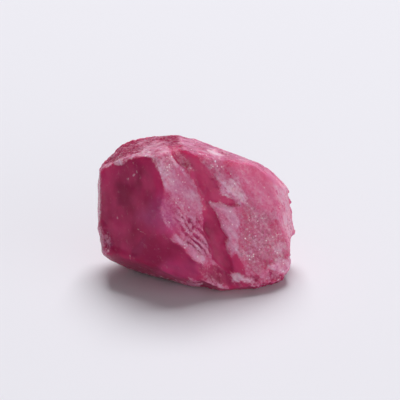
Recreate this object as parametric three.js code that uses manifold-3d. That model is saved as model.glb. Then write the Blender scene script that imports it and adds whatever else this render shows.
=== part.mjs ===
// A raw ruby crystal: one rough, stubby, faceted stone lying on a flat natural face.
//
// Millimetres, +Z up.  +X is the stone's long way, -Y its front, and the origin is
// the middle of the stone's box on the surface that it lies on.
//
// The stone is cut the way it broke and grew: a block is trimmed by one plane after
// another, each plane given by the way it faces and by how far it lies from the heart
// of the stone.  Then the valley in the front, the parting ledges, the shell-shaped
// fractures and the chipped edges are taken out of it.

import * as THREE from "three";
import { mergeVertices } from "three/addons/utils/BufferGeometryUtils.js";
import Module from "manifold-3d";

const wasm = await Module();
wasm.setup();

// ---- driving dimensions -------------------------------------------------------------

const HEART_HEIGHT = 5.4; // mm, from the resting face up to the heart of the stone
const BLOCK = 60; // mm, side of the rough block that every plane trims

// The natural planes: [name, azimuth, elevation, distance from the heart in mm].
// Azimuth 0 faces the front, 90 the right, 180 the back; elevation 90 faces up.
const PLANES = [
  ["resting face", 0, -90, HEART_HEIGHT],
  ["left end", -85, 2, 7.75],
  ["left brow", -88, 16, 8.3],
  ["left bevel", -93, 49, 7.5],
  ["top, left part", -106, 71, 6.45],
  ["top", -158, 80, 5.95],
  ["top, right part", 124, 68, 5.2],
  ["right bevel", 107, 57, 5.85],
  ["right brow", 100, 51, 6.05],
  ["right corner", 96, 42, 6.4],
  ["right end", 79, 10, 6.95],
  ["right end, low", 74, -5, 7.75],
  ["low right", 71, -25, 8.6],
  ["under right", 32, -52, 7.4],
  ["under front", 7, -53, 6.55],
  ["under left", -29, -49, 5.5],
  ["low left", -58, -34, 7.45],
  ["left end, low", -78, -7, 7.75],
  ["front left", -44, 14, 5.6],
  ["front left, low", -29, 3, 5.45],
  ["front, low", -14, -8, 5.05],
  ["front right", 24, 20, 3.75],
  ["right of the front", 44, 12, 5.45],
  ["right shoulder", 62, 16, 6.2],
  ["back", 178, 6, 5.9],
  ["back left", -140, 8, 6.9],
  ["back right", 136, 2, 6.6],
  ["back bevel", 180, 41, 5.5],
  ["back brow", 152, 38, 5.1],
  ["under back", 176, -50, 5.9],
  ["under right end", 100, -46, 8.3],
  ["under left end", -110, -46, 7.2],
];

// The two sides of the valley that runs down the front: the stone keeps what lies
// behind either of them.
const VALLEY = [
  ["valley, left side", 34, 20, 2.95],
  ["valley, right side", -6, 9, 3.0],
];

// Parting ledges: a thin layer of a plane broken away beyond a straight line on it.
// [plane, depth of the step, way the broken part lies on the plane, start of it in mm].
// The way is an angle on the plane, 0 to its right and 90 up.
const LEDGES = [
  { plane: "back", depth: 0.35, way: 200, start: 2.2 },
  { plane: "back", depth: 0.3, way: 28, start: 3.9 },
  { plane: "back left", depth: 0.25, way: 75, start: 2.3 },
  { plane: "back right", depth: 0.3, way: -70, start: 1.4 },
  { plane: "top, right part", depth: 0.12, way: 150, start: 2.4 },
];

// Shell-shaped fractures: [azimuth, elevation, distance of the deepest point, radius].
const SHELLS = [
  ["notch at the right end", 91, -22, 7.85, 2.3],
  ["chip under the right end", 50, -38, 7.8, 1.8],
  ["hollow in the back", 165, 14, 5.3, 5],
  ["shell at the back left", -132, -12, 6.2, 4],
  ["shell under the back", 150, -38, 5.9, 3.5],
];
const SHELL_DETAIL = 7; // how finely a fracture's sphere is divided

// ---- making -------------------------------------------------------------------------

/** The direction that an azimuth and an elevation in degrees point in. */
function facing(azimuth, elevation) {
  const a = THREE.MathUtils.degToRad(azimuth);
  const e = THREE.MathUtils.degToRad(elevation);
  return new THREE.Vector3(
    Math.sin(a) * Math.cos(e),
    -Math.cos(a) * Math.cos(e),
    Math.sin(e),
  );
}

/** A closed three.js geometry as a solid that can be joined and cut. */
function solidFrom(geometry) {
  geometry.deleteAttribute("normal");
  geometry.deleteAttribute("uv");
  const merged = mergeVertices(geometry);
  return new wasm.Manifold(
    new wasm.Mesh({
      numProp: 3,
      vertProperties: new Float32Array(merged.attributes.position.array),
      triVerts: new Uint32Array(merged.index.array),
    }),
  );
}

/** A solid as a three.js geometry with flat facets. */
function geometryFrom(solid) {
  const mesh = solid.getMesh();
  const geometry = new THREE.BufferGeometry();
  const points = new THREE.BufferAttribute(mesh.vertProperties, mesh.numProp);
  geometry.setAttribute("position", points);
  geometry.setIndex(new THREE.BufferAttribute(mesh.triVerts, 1));
  return geometry;
}

/** The three directions of a plane: to its right, up along it, and out of it. */
function planeBasis(azimuth, elevation) {
  const out = facing(azimuth, elevation);
  const right = facing(azimuth + 90, 0);
  const up = new THREE.Vector3().crossVectors(out, right);
  return { right, up, out };
}

/** All that lies behind a plane, as one block. */
function behind(azimuth, elevation, distance) {
  const { right, up, out } = planeBasis(azimuth, elevation);
  const geometry = new THREE.BoxGeometry(BLOCK, BLOCK, BLOCK);
  geometry.translate(0, 0, distance - BLOCK / 2);
  geometry.applyMatrix4(new THREE.Matrix4().makeBasis(right, up, out));
  return solidFrom(geometry);
}

/** The layer that a parting ledge takes off its plane. */
function ledgeLayer({ plane, depth, way, start }) {
  const [, azimuth, elevation, distance] = PLANES.find(([name]) => name === plane);
  const { right, up, out } = planeBasis(azimuth, elevation);
  const geometry = new THREE.BoxGeometry(BLOCK, BLOCK, BLOCK);
  geometry.translate(start + BLOCK / 2, 0, 0);
  geometry.rotateZ(THREE.MathUtils.degToRad(way));
  geometry.translate(0, 0, distance - depth + BLOCK / 2);
  geometry.applyMatrix4(new THREE.Matrix4().makeBasis(right, up, out));
  return solidFrom(geometry);
}

/** The ball that a shell-shaped fracture takes out of the stone. */
function shellBall(azimuth, elevation, deepest, radius) {
  const geometry = new THREE.IcosahedronGeometry(radius, SHELL_DETAIL);
  const centre = facing(azimuth, elevation).multiplyScalar(deepest + radius);
  geometry.translate(centre.x, centre.y, centre.z);
  return solidFrom(geometry);
}

/** The whole stone around its heart. */
function cutStone() {
  const sides = VALLEY.map(([, ...where]) => behind(...where));
  let stone = sides.reduce((whole, side) => whole.add(side));
  for (const [, ...where] of PLANES) stone = stone.intersect(behind(...where));
  for (const ledge of LEDGES) stone = stone.subtract(ledgeLayer(ledge));
  for (const [, ...where] of SHELLS) stone = stone.subtract(shellBall(...where));
  return stone;
}

/** Puts the middle of the geometry's box, on its lowest level, at the origin. */
function standAtOrigin(geometry) {
  geometry.computeBoundingBox();
  const { min, max } = geometry.boundingBox;
  geometry.translate(-(min.x + max.x) / 2, -(min.y + max.y) / 2, -min.z);
  geometry.computeVertexNormals();
  return geometry;
}

const rubyMaterial = new THREE.MeshStandardMaterial({
  name: "ruby",
  color: 0xb8486c,
  roughness: 0.35,
  metalness: 0,
  flatShading: true,
});

const crystal = new THREE.Mesh(standAtOrigin(geometryFrom(cutStone())), rubyMaterial);
crystal.name = "ruby_crystal";

const part = new THREE.Group();
part.name = "raw_ruby_crystal";
part.add(crystal);

export default part;
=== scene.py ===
"""The looks of a raw ruby crystal: one rough stone that lies on a flat natural face.

It is glassy crimson where it broke and frosted pink where it parted.  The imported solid
gives its large planes.  A fine skin is laid over them, the broken steps, shells, grains
and chips are worked into that skin as real relief, and the finish follows the same
patches as the relief.  Lengths on the stone are in millimetres until the mesh is made;
Blender's are metres.
"""

import logging
import math
from dataclasses import dataclass, fields
from enum import Enum
from typing import Any

import bpy
import numpy as np
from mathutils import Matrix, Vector
from mathutils.bvhtree import BVHTree


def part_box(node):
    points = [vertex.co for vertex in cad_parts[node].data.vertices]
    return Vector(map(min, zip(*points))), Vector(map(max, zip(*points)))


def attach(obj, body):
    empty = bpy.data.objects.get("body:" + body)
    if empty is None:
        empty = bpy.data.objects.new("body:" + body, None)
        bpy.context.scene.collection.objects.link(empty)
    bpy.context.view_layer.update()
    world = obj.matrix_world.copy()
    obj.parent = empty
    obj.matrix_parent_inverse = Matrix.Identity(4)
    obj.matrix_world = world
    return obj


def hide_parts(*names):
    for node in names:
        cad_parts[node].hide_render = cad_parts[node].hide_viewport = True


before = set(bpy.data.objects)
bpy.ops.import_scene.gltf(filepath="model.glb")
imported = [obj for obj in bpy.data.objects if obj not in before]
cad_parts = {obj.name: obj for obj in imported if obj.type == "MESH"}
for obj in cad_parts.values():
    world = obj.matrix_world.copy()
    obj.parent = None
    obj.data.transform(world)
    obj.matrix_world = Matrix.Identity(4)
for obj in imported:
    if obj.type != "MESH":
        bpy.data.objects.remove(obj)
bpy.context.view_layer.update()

LOG = logging.getLogger("ruby")
MM = 0.001  # metres in a millimetre
NODE = "ruby_crystal"
Colour = tuple[float, float, float]
Outline = tuple[tuple[float, float], ...]
Ramp = tuple[float, float]  # where a change starts and where it is whole
Way = tuple[float, float]  # azimuth and elevation in degrees

FIBRE: Way = (-88.0, 52.0)  # along the stone's grain


# ---- small helpers and noise ----


def facing(azimuth: float, elevation: float) -> np.ndarray:
    """The unit direction of an azimuth and an elevation.

    Args:
        azimuth: Degrees round the stone: 0 is its front, 90 its right, 180 its back.
        elevation: Degrees above level.

    Returns:
        The direction as three numbers.
    """
    a, e = math.radians(azimuth), math.radians(elevation)
    return np.array([math.sin(a) * math.cos(e), -math.cos(a) * math.cos(e), math.sin(e)])


def smooth(values: np.ndarray, low: float, high: float) -> np.ndarray:
    """An even ramp with soft ends.

    Args:
        values: Any numbers.
        low: Where the ramp is 0.
        high: Where the ramp is 1.

    Returns:
        Numbers from 0 to 1.
    """
    t = np.clip((values - low) / (high - low), 0.0, 1.0)
    return t * t * (3.0 - 2.0 * t)


def rowwise(first: np.ndarray, second: np.ndarray) -> np.ndarray:
    """The dot product of each pair of rows."""
    return np.einsum("ij,ij->i", first, second)


def placed(name: str, data: bpy.types.ID) -> bpy.types.Object:
    """A new object in the scene.

    Args:
        name: The object's name.
        data: Its mesh, lamp or camera.

    Returns:
        The object, at the origin.
    """
    thing = bpy.data.objects.new(name, data)
    bpy.context.scene.collection.objects.link(thing)
    return thing


@dataclass(frozen=True)
class Swell:
    """One use of the stone's noises."""

    table: int  # which of them it reads
    size: float  # mm, the length of its largest swell or the width of its facets
    octaves: int = 4  # how many sizes of waves are added up
    height: float = 1.0  # what it is multiplied by


class Grain:
    """Seeded solid noise, worked out for many points at once."""

    TABLE = 256
    WAVE_HEIGHT = 1.6  # brings the waves to about -1 to 1
    OCTAVE_SHIFT = 17.3  # keeps the sizes that are added up apart
    OCTAVE_FALL = 1.9  # how much lower each smaller size is
    OCTAVES_HEIGHT = 1.5  # what their sum is divided by, to stay at about -1 to 1
    CHIP_OFFSET = 0.5  # how far a facet's own level may lie from the next one's

    def __init__(self, seed: int) -> None:
        """Shuffles the tables.

        Args:
            seed: Any whole number; the same seed gives the same noise.
        """
        draw = np.random.default_rng(seed)
        self.order = draw.permutation(self.TABLE)
        slopes = draw.normal(size=(self.TABLE, 3))
        self.slopes = slopes / np.linalg.norm(slopes, axis=1, keepdims=True)
        self.places = draw.uniform(0.0, 1.0, (self.TABLE, 3))
        self.marks = draw.uniform(0.0, 1.0, self.TABLE)

    def _pick(self, cell: np.ndarray) -> np.ndarray:
        """Draws a table entry for each cell of space.

        Args:
            cell: Three whole numbers for each cell.

        Returns:
            The entries.
        """
        entry = np.zeros(len(cell), int)
        for axis in range(3):
            entry = self.order[(entry + cell[:, axis]) & (self.TABLE - 1)]
        return entry

    def waves(self, points: np.ndarray, size: float) -> np.ndarray:
        """Smooth noise, about -1 to 1.

        Args:
            points: Places in mm.
            size: The length in mm of one swell.

        Returns:
            One number for each point.
        """
        p = points / size
        cell = np.floor(p).astype(int)
        inside = p - cell
        fade = inside**3 * (inside * (inside * 6.0 - 15.0) + 10.0)
        total = np.zeros(len(p))
        for corner in np.ndindex(2, 2, 2):
            corner = np.array(corner)
            slope = self.slopes[self._pick(cell + corner)]
            share = np.prod(np.where(corner == 1, fade, 1.0 - fade), axis=1)
            total += share * rowwise(slope, inside - corner)
        return total * self.WAVE_HEIGHT

    def rough(self, points: np.ndarray, size: float, octaves: int = 4) -> np.ndarray:
        """Waves on waves, each half the size of the last.

        Args:
            points: Places in mm.
            size: The length in mm of the largest swell.
            octaves: How many sizes are added up.

        Returns:
            One number for each point, about -1 to 1.
        """
        total = np.zeros(len(points))
        for octave in range(octaves):
            shift = self.OCTAVE_SHIFT * octave
            total += self.waves(points + shift, size / 2**octave) / self.OCTAVE_FALL**octave
        return total / self.OCTAVES_HEIGHT

    def _nearest(self, points: np.ndarray, size: float) -> tuple[np.ndarray, np.ndarray]:
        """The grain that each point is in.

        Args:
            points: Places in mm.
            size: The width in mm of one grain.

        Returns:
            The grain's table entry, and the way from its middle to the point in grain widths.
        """
        p = points / size
        cell = np.floor(p).astype(int)
        entry = np.zeros(len(p), int)
        away = np.zeros_like(p)
        gap = np.full(len(p), np.inf)
        for step in np.ndindex(3, 3, 3):
            there = cell + np.array(step) - 1
            other = self._pick(there)
            way = p - there - self.places[other]
            reach = np.linalg.norm(way, axis=1)
            closer = reach < gap
            entry[closer], away[closer], gap[closer] = other[closer], way[closer], reach[closer]
        return entry, away

    def crumbs(self, points: np.ndarray, size: float) -> tuple[np.ndarray, np.ndarray]:
        """Packed grains, each with a number of its own.

        Args:
            points: Places in mm.
            size: The width in mm of one grain.

        Returns:
            The distance to the nearest grain's middle in grain widths, and a number
            from 0 to 1 that belongs to that grain.
        """
        entry, away = self._nearest(points, size)
        return np.linalg.norm(away, axis=1), self.marks[entry]

    def chips(self, points: np.ndarray, size: float) -> np.ndarray:
        """Small flat facets, each tilted its own way.

        Args:
            points: Places in mm.
            size: The width in mm of one facet.

        Returns:
            The facets' height, about -0.5 to 0.5.
        """
        entry, away = self._nearest(points, size)
        return rowwise(away, self.slopes[entry]) + self.CHIP_OFFSET * (self.marks[entry] - 0.5)


# ---- what each patch of the stone is like ----


@dataclass(frozen=True)
class Tone:
    """How a patch is coloured, each from 0 to 1."""

    frost: float = 0.0  # pale ground-glass skin
    wine: float = 0.0  # deep, dark crimson
    orchid: float = 0.0  # purple-magenta glow
    salmon: float = 0.0  # warm, bright pink
    rust: float = 0.0  # brownish grains
    pearl: float = 0.0  # cool grey-white chips


@dataclass(frozen=True)
class Texture:
    """How rough a patch is, each a height in mm."""

    wave: float = 0.0  # slow swells
    block: float = 0.0  # broken blocks, about a millimetre wide
    grain: float = 0.0  # packed crystal grains
    step: float = 0.0  # parting steps
    shell: float = 0.0  # shell-shaped scoops
    polish: float = 0.0  # not a height: 1 where the large planes run smoothly together


class Relief(Enum):
    """The kinds of broken surface that the stone has."""

    POLISHED = Texture(wave=0.05, block=0.008, shell=0.02, polish=1.0)
    GLASSY = Texture(wave=0.08, block=0.03, grain=0.004, shell=0.07)
    BROKEN = Texture(wave=0.07, block=0.045, grain=0.005, step=0.03, shell=0.05, polish=0.75)
    FROSTED = Texture(wave=0.07, block=0.05, grain=0.008, step=0.05, polish=0.12)
    SUGARY = Texture(wave=0.09, block=0.06, grain=0.022, step=0.06)
    PARTED = Texture(wave=0.1, block=0.11, grain=0.02, step=0.13, shell=0.06)
    HACKLY = Texture(wave=0.09, block=0.14, grain=0.03, step=0.34)
    SCOOPED = Texture(wave=0.08, block=0.04, grain=0.008, step=0.02, shell=0.25, polish=0.8)


@dataclass(frozen=True)
class Plane:
    """The finish of one large plane of the stone, found by the way that it faces."""

    azimuth: float
    elevation: float
    relief: Relief
    tone: Tone


# The ways that the planes of one finish face: from the right end up to the top, and the top
# itself down to the left bevel.
RIGHT_BROW: tuple[Way, ...] = ((96, 42), (100, 51), (107, 57), (124, 68))
TOP: tuple[Way, ...] = ((-158, 80), (-106, 71), (-93, 49))

PLANES = (
    Plane(-44, 14, Relief.GLASSY, Tone(wine=0.5)),
    Plane(-14, -8, Relief.GLASSY, Tone(wine=0.6)),
    Plane(34, 20, Relief.FROSTED, Tone(frost=0.5)),
    Plane(-6, 9, Relief.GLASSY, Tone(wine=0.2)),
    Plane(24, 20, Relief.FROSTED, Tone(frost=0.5)),
    Plane(44, 12, Relief.SUGARY, Tone(frost=0.5, rust=0.4)),
    Plane(62, 16, Relief.FROSTED, Tone(frost=0.5, salmon=0.5)),
    Plane(79, 10, Relief.FROSTED, Tone(frost=0.5, salmon=0.45)),
    Plane(74, -5, Relief.PARTED, Tone(frost=0.4, wine=0.3, salmon=0.2)),
    Plane(71, -25, Relief.PARTED, Tone(frost=0.35, wine=0.4)),
    # The brow and top planes carry more wine than the front ones: partly darker frosted crimson, partly
    # painted shade that offsets the key lamp's light from above.
    *(Plane(*way, Relief.FROSTED, Tone(frost=0.6, wine=0.8)) for way in RIGHT_BROW),
    *(Plane(*way, Relief.SUGARY, Tone(frost=0.5, wine=0.8, rust=0.15)) for way in TOP),
    Plane(-88, 16, Relief.SUGARY, Tone(frost=0.45)),
    Plane(-85, 2, Relief.GLASSY, Tone(wine=0.4, frost=0.15)),
    Plane(-78, -7, Relief.SUGARY, Tone(wine=0.3, frost=0.3)),
    Plane(-58, -34, Relief.GLASSY, Tone(wine=0.5, frost=0.1)),
    Plane(-29, -49, Relief.GLASSY, Tone(wine=0.5, frost=0.05)),
    Plane(7, -53, Relief.GLASSY, Tone(wine=0.45, frost=0.1)),
    Plane(32, -52, Relief.PARTED, Tone(wine=0.5, frost=0.2)),
    Plane(178, 6, Relief.PARTED, Tone(frost=0.3, wine=0.5)),
    Plane(-140, 8, Relief.SCOOPED, Tone(wine=0.6, frost=0.05)),
    Plane(136, 2, Relief.HACKLY, Tone(frost=0.35, wine=0.5, rust=0.2)),
    # The back top planes likewise: partly darker crimson, partly painted shade against the key lamp.
    Plane(180, 41, Relief.SUGARY, Tone(frost=0.4, wine=0.7, rust=0.1)),
    Plane(152, 38, Relief.FROSTED, Tone(frost=0.5, wine=0.7)),
    Plane(176, -50, Relief.PARTED, Tone(wine=0.6, frost=0.15)),
    Plane(100, -46, Relief.PARTED, Tone(wine=0.4, frost=0.3)),
    Plane(-110, -46, Relief.SCOOPED, Tone(wine=0.6, frost=0.1)),
    Plane(0, -90, Relief.FROSTED, Tone(wine=0.3, frost=0.3)),
)


@dataclass(frozen=True)
class Patch:
    """A patch on the front of the stone that differs from the plane that it is on.

    The outline is in mm on a board that stands at the origin, faces the front and
    leans back: along X, then up the board.
    """

    name: str
    relief: Relief | None  # None where it keeps the surface that it is laid on
    tone: Tone
    outline: Outline
    lift: float = 0.0  # mm, how far the patch stands out, or in where it is negative
    feather: float = 0.2  # mm, half the width of its soft edge
    wander: float = 0.22  # mm, how far its edge strays from the outline
    rim: float = 0.0  # how pale the broken grains along its edge are


PATCHES = (
    Patch("glassy_face", Relief.POLISHED, Tone(wine=0.5), wander=0.3, outline=(
        (-7.5, 7.8), (-6.3, 8.2), (-5.5, 8.5), (-4.8, 8.9), (-4.0, 9.0), (-3.4, 8.7), (-3.0, 8.0),
        (-2.7, 7.2), (-2.6, 6.5), (-2.8, 5.4), (-3.6, 4.7), (-4.4, 2.5), (-5.2, 1.1), (-6.6, 1.6),
        (-6.9, 3.2), (-7.7, 4.1), (-7.8, 6.8))),
    Patch("face_red", None, Tone(wine=0.1), feather=0.5, outline=(
        (-4.5, 8.7), (-3.6, 8.6), (-2.9, 7.7), (-3.0, 6.7), (-3.6, 6.2), (-4.1, 6.5), (-4.4, 7.6))),
    Patch("face_left", None, Tone(frost=0.1, wine=0.2), feather=0.6, outline=(
        (-7.7, 7.8), (-6.6, 8.1), (-6.2, 7.7), (-6.8, 6.7), (-7.7, 6.1))),
    Patch("face_well", None, Tone(wine=0.9), feather=0.4, outline=(
        (-6.3, 6.7), (-5.2, 6.6), (-4.4, 7.7), (-4.4, 6.7), (-5.3, 5.2), (-6.2, 5.1))),
    Patch("shoulder", Relief.SUGARY, Tone(frost=0.3, wine=0.9, rust=0.15), wander=0.35, rim=0.2, outline=(
        (-7.2, 8.2), (-6.3, 8.3), (-5.5, 8.5), (-4.8, 8.8), (-4.2, 9.0), (-3.3, 8.8), (-2.2, 8.7),
        (-2.3, 9.6), (-1.5, 10.1), (-1.6, 11.0), (-3.3, 11.0), (-5.2, 10.8), (-6.8, 10.0), (-8.2, 8.2))),
    Patch("shoulder_pale", None, Tone(frost=0.7, wine=0.6, rust=0.2), feather=0.5, outline=(
        (-4.2, 9.3), (-3.2, 9.0), (-2.3, 8.9), (-2.4, 9.7), (-3.2, 10.2), (-4.6, 9.9))),
    Patch("brow_grains", Relief.SUGARY, Tone(frost=0.75, wine=0.3, rust=0.3, pearl=0.35),
          feather=0.15, wander=0.3, outline=(
        (-7.4, 8.2), (-6.5, 8.6), (-5.6, 8.8), (-4.8, 9.2), (-4.0, 9.3), (-3.2, 8.9), (-2.8, 8.4),
        (-2.9, 7.7), (-3.2, 8.4), (-3.6, 8.7), (-4.1, 8.9), (-4.8, 8.8), (-5.6, 8.5), (-6.3, 8.3))),
    Patch("light_strip", Relief.FROSTED, Tone(frost=0.78, wine=0.2, pearl=0.08),
          lift=0.08, rim=0.35, outline=(
        (-3.1, 8.6), (-2.6, 8.8), (-2.0, 8.7), (-1.1, 7.8), (-0.4, 7.2), (0.3, 5.6), (0.6, 4.7),
        (0.0, 4.3), (-1.1, 5.0), (-2.0, 5.2), (-2.5, 6.0), (-2.7, 7.1), (-3.0, 7.9))),
    Patch("strip_head", Relief.SUGARY, Tone(frost=0.65, rust=0.45, pearl=0.2), feather=0.5, outline=(
        (-3.0, 9.0), (-2.2, 9.6), (-1.6, 8.9), (-1.3, 8.2), (-2.0, 7.8), (-2.6, 7.7), (-2.8, 8.3))),
    Patch("orchid_wide", None, Tone(frost=0.1, wine=0.35, orchid=0.42), feather=0.7, wander=0.3, outline=(
        (-3.0, 6.2), (-2.2, 5.9), (-1.5, 4.8), (-0.9, 3.9), (-1.7, 3.0), (-2.8, 2.8), (-3.8, 3.4),
        (-4.6, 4.2), (-3.8, 5.2))),
    Patch("orchid_bright", None, Tone(frost=0.25, wine=0.1, orchid=0.75), feather=0.5, outline=(
        (-3.0, 5.6), (-2.3, 5.3), (-1.5, 4.6), (-1.1, 3.7), (-1.6, 3.2), (-2.1, 2.9), (-2.5, 3.5),
        (-2.8, 4.3))),
    Patch("finger", Relief.SUGARY, Tone(frost=0.9, pearl=0.3), lift=0.06, wander=0.12, outline=(
        (-2.3, 9.6), (-2.0, 9.5), (-1.5, 8.3), (-1.0, 7.8), (-1.3, 7.7), (-1.7, 8.1), (-2.2, 9.0))),
    Patch("hackles", Relief.HACKLY, Tone(frost=0.43, wine=0.35, orchid=0.15),
          feather=0.35, wander=0.3, outline=(
        (-2.2, 5.0), (-1.1, 4.4), (0.0, 4.2), (0.6, 3.9), (0.8, 2.7), (1.3, 1.4), (1.4, 0.8), (0.6, 1.1),
        (-0.1, 1.5), (-1.1, 2.1), (-1.6, 2.8), (-1.2, 3.4), (-1.7, 4.1))),
    Patch("flake", Relief.SUGARY, Tone(frost=0.75, pearl=0.1), lift=0.1, rim=0.3, outline=(
        (-2.2, 2.5), (-1.7, 2.7), (-1.1, 2.2), (-0.1, 1.4), (0.6, 0.9), (0.5, 0.5), (-0.1, 0.5),
        (-0.9, 1.3), (-1.3, 1.8), (-2.0, 2.1))),
    Patch("low_front", Relief.POLISHED, Tone(wine=0.75), outline=(
        (-2.3, 2.7), (-1.2, 1.7), (-0.4, 0.7), (0.7, 0.2), (-1.8, 0.2), (-5.1, 1.2), (-4.2, 2.5))),
    # The lower bevel's near-black wine is the deep crimson darkened with painted shade, where the underside
    # lies in shadow.
    Patch("low_bevel", Relief.POLISHED, Tone(wine=0.95), lift=0.28, feather=0.5, wander=0.15, outline=(
        (-7.9, 2.4), (-7.2, 1.7), (-6.0, 1.2), (-5.2, 0.9), (-3.7, 0.4), (-1.5, -0.1), (0.2, -0.7),
        (0.2, -1.6), (-2.0, -1.3), (-4.3, -0.7), (-6.3, 0.1), (-7.8, 1.2))),
    Patch("plum", None, Tone(wine=1.0, orchid=0.15), feather=0.15, wander=0.1, outline=(
        (-5.2, 1.4), (-4.0, 2.7), (-4.1, 2.0), (-4.6, 1.0), (-5.2, 1.0))),
    Patch("magenta_low", None, Tone(wine=0.4, orchid=0.25), feather=0.4, outline=(
        (-2.2, 0.8), (0.7, 0.3), (1.1, -0.7), (-1.8, -0.5), (-3.3, -0.2))),
    Patch("trough", Relief.BROKEN, Tone(frost=0.05, wine=0.15), lift=-0.22, wander=0.3, rim=0.12, outline=(
        (-2.2, 9.7), (-1.6, 9.9), (-0.6, 9.2), (0.6, 8.7), (1.5, 7.8), (1.4, 7.2), (1.9, 6.2), (2.9, 5.6),
        (3.3, 5.1), (2.4, 5.0), (1.1, 5.3), (0.9, 5.1), (1.6, 4.2), (1.9, 3.2), (2.4, 2.5), (2.2, 1.9),
        (2.6, 0.7), (2.8, -0.1), (2.2, -0.2), (1.4, 0.8), (1.1, 1.9), (0.7, 3.4), (0.6, 5.5), (-0.2, 7.1),
        (-0.6, 8.1), (-1.4, 8.1), (-1.8, 9.0))),
    Patch("trough_low", None, Tone(wine=0.4), feather=0.3, outline=(
        (0.7, 5.2), (1.8, 3.9), (2.2, 2.7), (2.2, 1.9), (2.7, -0.1), (1.6, 0.8), (1.1, 1.9), (0.6, 3.6))),
    Patch("trough_grains", Relief.SUGARY, Tone(frost=0.45, wine=0.3, rust=0.6, pearl=0.15),
          feather=0.3, wander=0.35, outline=(
        (-1.9, 9.6), (-1.5, 9.5), (-0.9, 9.0), (-0.5, 8.4), (-0.3, 7.8), (-0.6, 7.6), (-1.0, 7.9),
        (-1.5, 8.8))),
    Patch("top_grains", Relief.SUGARY, Tone(frost=0.75, rust=0.2, pearl=0.25),
          feather=0.3, wander=0.3, rim=0.2, outline=(
        (0.0, 9.3), (0.8, 8.9), (1.7, 8.6), (2.1, 7.6), (1.6, 7.2), (1.3, 7.9), (0.6, 8.5))),
    Patch("crest", Relief.FROSTED, Tone(frost=0.82, orchid=0.1, pearl=0.15),
          lift=0.08, feather=0.25, rim=0.4, outline=(
        (1.0, 5.2), (1.8, 5.2), (2.8, 4.8), (3.4, 3.9), (3.1, 3.2), (3.2, 2.5), (2.9, 1.4), (2.7, 1.0),
        (2.2, 1.9), (2.4, 2.5), (1.9, 3.2), (1.6, 4.2))),
    Patch("sparkle", Relief.SUGARY, Tone(frost=0.9, pearl=0.5), feather=0.35, wander=0.3, rim=0.3, outline=(
        (2.1, 6.7), (2.7, 7.1), (3.4, 6.8), (4.0, 5.8), (3.9, 5.1), (3.3, 5.1), (2.9, 5.6), (1.9, 6.2))),
    Patch("sugar", Relief.SUGARY, Tone(frost=0.6, rust=0.5), feather=0.5, wander=0.35, outline=(
        (4.0, 5.6), (5.0, 4.7), (5.9, 4.3), (6.6, 3.2), (7.2, 1.8), (7.2, 1.0), (5.9, 0.7), (5.6, 0.2),
        (4.9, -0.4), (4.2, 0.2), (3.4, 1.4), (3.3, 2.7), (3.6, 3.7), (3.4, 4.4))),
    Patch("salmon", Relief.FROSTED, Tone(frost=0.4, salmon=0.75, pearl=0.06),
          feather=0.5, wander=0.3, outline=(
        (2.7, 8.2), (3.7, 8.5), (5.1, 7.9), (6.4, 7.1), (6.7, 5.6), (5.9, 4.3), (4.7, 5.1), (4.0, 6.1),
        (3.1, 7.1))),
    # The thin right end: warm pink tone, with a pale painted glow of light shining through the stone.
    Patch("glow", Relief.FROSTED, Tone(frost=0.45, salmon=0.8, pearl=0.42), feather=0.5, outline=(
        (6.3, 7.2), (7.3, 6.8), (8.2, 5.2), (8.4, 3.2), (7.3, 2.1), (6.7, 3.2), (6.8, 4.4), (6.4, 5.4))),
    Patch("corner_chip", Relief.SUGARY, Tone(frost=0.8, pearl=0.25), lift=0.22, rim=0.4, outline=(
        (5.6, 0.2), (6.3, 0.8), (7.4, 0.9), (7.6, 0.2), (7.0, -0.4), (6.5, -0.4))),
    Patch("corner_wine", Relief.GLASSY, Tone(frost=0.38, wine=0.4), lift=-0.12, wander=0.15, outline=(
        (5.8, -0.1), (6.5, -0.5), (6.9, -0.5), (6.6, -0.9), (5.5, -1.2), (4.9, -1.2))),
    Patch("low_band", Relief.PARTED, Tone(frost=0.2, wine=0.55), outline=(
        (0.3, 0.1), (1.5, 0.5), (2.8, -0.3), (5.0, -0.6), (4.9, -1.3), (3.4, -1.5), (1.1, -1.1),
        (0.0, -0.7))),
    Patch("low_chips", Relief.SUGARY, Tone(frost=0.9, pearl=0.65),
          lift=0.06, feather=0.3, wander=0.32, outline=(
        (2.7, -0.4), (3.3, -0.3), (4.3, -0.8), (4.2, -1.0), (2.9, -0.9))),
    Patch("low_flakes", Relief.FROSTED, Tone(frost=0.6, wine=0.2, pearl=0.3), feather=0.25, outline=(
        (-1.8, -0.6), (-1.1, -0.7), (-0.4, -0.7), (0.4, -1.1), (0.1, -1.3), (-0.9, -1.1))),
    Patch("lower_left", Relief.SUGARY, Tone(frost=0.4, wine=0.7), feather=0.35, outline=(
        (-8.3, 3.8), (-7.2, 3.4), (-7.0, 3.0), (-6.6, 2.0), (-6.8, 1.4), (-7.4, 1.2), (-8.0, 2.5))),
    # A pale strip along the left edge: partly frosting, partly a painted highlight along the edge.
    Patch("left_pale", None, Tone(frost=0.3, wine=0.5), feather=0.35, outline=(
        (-8.2, 7.9), (-7.5, 7.9), (-7.6, 6.0), (-7.7, 4.4), (-8.3, 4.4))),
    # A pale flake on the top: partly a frosted chip, partly a painted highlight.
    Patch("glint", Relief.FROSTED, Tone(frost=0.9, pearl=0.7), feather=0.12, wander=0.16, outline=(
        (0.8, 9.42), (1.35, 9.4), (2.1, 9.0), (1.85, 8.86), (1.25, 9.08))),
)


@dataclass(frozen=True)
class Scratch:
    """A fine pale line on the front: a scratch or a chipped edge, on the patches' board."""

    path: Outline
    width: float = 0.055  # mm, half of it
    pale: float = 0.65
    height: float = 0.0  # mm, out of the surface


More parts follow.
